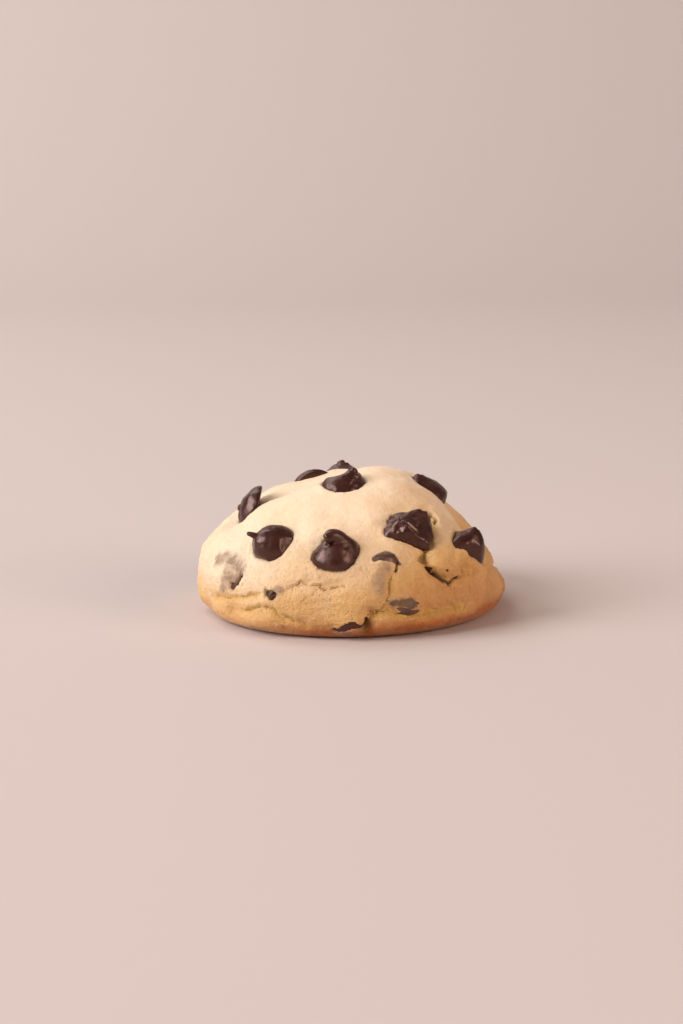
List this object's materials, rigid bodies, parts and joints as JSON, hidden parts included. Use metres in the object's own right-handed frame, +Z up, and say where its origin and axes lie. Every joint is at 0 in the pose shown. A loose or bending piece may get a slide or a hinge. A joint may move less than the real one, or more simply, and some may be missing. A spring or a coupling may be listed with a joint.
{
  "type": "chocolate chip cookie",
  "caption": "Thick domed soft-baked cookie with a flat base, cracked golden dough and teardrop chocolate chips set in it, some proud and some only peeking out.",
  "frame": {"origin": "middle of the flat base, on the surface that the cookie rests on", "axes": "+Z up through the dome, -Y towards the front that the picture shows, +X to its right"},
  "size_m": [0.0873, 0.0912, 0.0413],
  "materials": {
    "dough": "baked soft dough, golden and uneven, browner at the rim",
    "chocolate": "satin dark chocolate"
  },
  "bodies": {
    "root": {"dough": "dough", "chip_front_centre": "chocolate", "chip_front_left": "chocolate", "chip_front_right": "chocolate", "chip_right_cone": "chocolate", "chip_left_shoulder": "chocolate", "chip_crown_front": "chocolate", "chip_crown_back": "chocolate", "chip_crown_left": "chocolate", "chip_right_shoulder": "chocolate", "chip_left_smeared": "chocolate", "chip_peeking_arc": "chocolate", "chip_peeking_slit": "chocolate", "chip_peeking_point": "chocolate", "chip_under_film": "chocolate", "chip_in_notch": "chocolate", "chip_back_1": "chocolate", "chip_back_2": "chocolate", "chip_back_3": "chocolate", "chip_back_4": "chocolate", "chip_back_5": "chocolate", "chip_back_6": "chocolate", "chip_back_7": "chocolate", "chip_back_8": "chocolate", "chip_back_9": "chocolate"}
  },
  "joints": []
}
